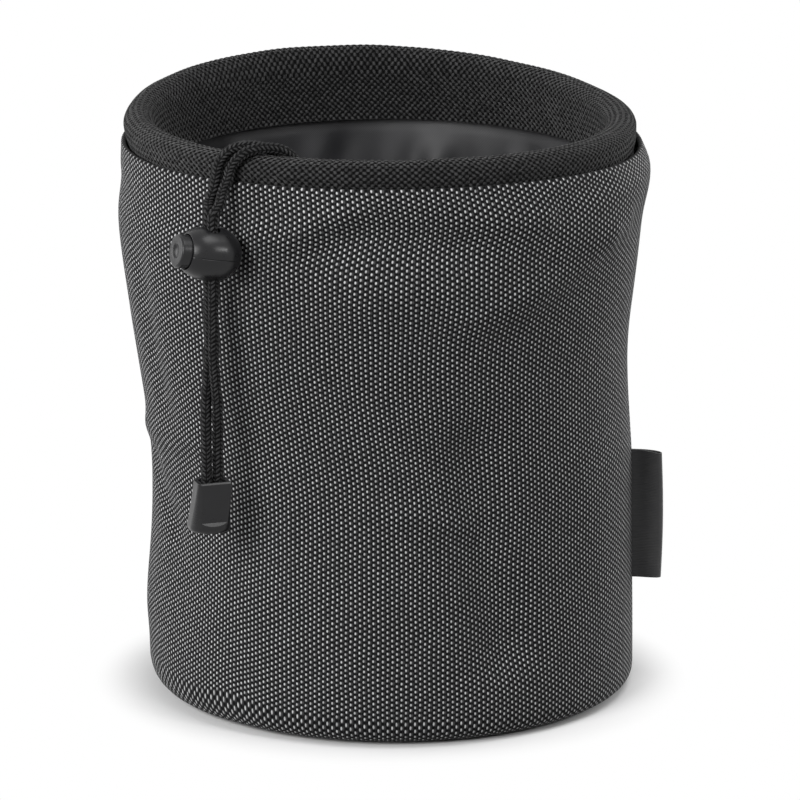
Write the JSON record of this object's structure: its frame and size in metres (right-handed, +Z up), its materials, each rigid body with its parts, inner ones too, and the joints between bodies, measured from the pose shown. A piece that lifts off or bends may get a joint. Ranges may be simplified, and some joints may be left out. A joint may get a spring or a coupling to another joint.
{
  "type": "peg bag",
  "caption": "Round standing cloth bag with a padded knit rim, a drawstring closing inside, and a spring cord lock on cords that hang over the rim.",
  "frame": {"origin": "middle of the base, on the surface that the bag stands on", "axes": "+Z up; -Y to the front, where the cords hang; +X to the side seam with the label"},
  "size_m": [0.1646, 0.1619, 0.1831],
  "materials": {
    "body_cloth": "two-tone open weave, dark grey with light flecks",
    "binding_tape": "plain woven tape",
    "label_ribbon": "bare satin ribbon",
    "knit_mesh": "thick knit mesh",
    "thin_nylon": "thin smooth nylon",
    "cord_braid": "round braid",
    "black_plastic": "moulded, satin",
    "spring_steel": "bright wire"
  },
  "bodies": {
    "bag": {"body_panel": "body_cloth", "base_panel": "body_cloth", "base_seam_binding": "binding_tape", "side_seam_binding": "binding_tape", "side_label": "label_ribbon", "rim_collar": "knit_mesh", "closing_skirt": "thin_nylon", "drawcord_run": "cord_braid", "drawcord_tail_left": "cord_braid", "drawcord_tail_right": "cord_braid", "cord_end_cap": "black_plastic", "cord_end_wedge": "black_plastic"},
    "cord_lock": {"lock_barrel": "black_plastic", "lock_spring": "spring_steel"},
    "lock_plunger": {"lock_button": "black_plastic"}
  },
  "joints": [
    {"name": "lock_slide", "type": "slide", "parent": "bag", "child": "cord_lock", "axis": [0, 0, 1], "range_m": [-0.023, 0.004]},
    {"name": "button_press", "type": "slide", "parent": "cord_lock", "child": "lock_plunger", "axis": [0.8997, 0.4006, -0.1736], "range_m": [0, 0.0017], "stiffness_N_per_m": 1500, "springref_m": -0.002, "deforming": ["lock_spring"]}
  ]
}
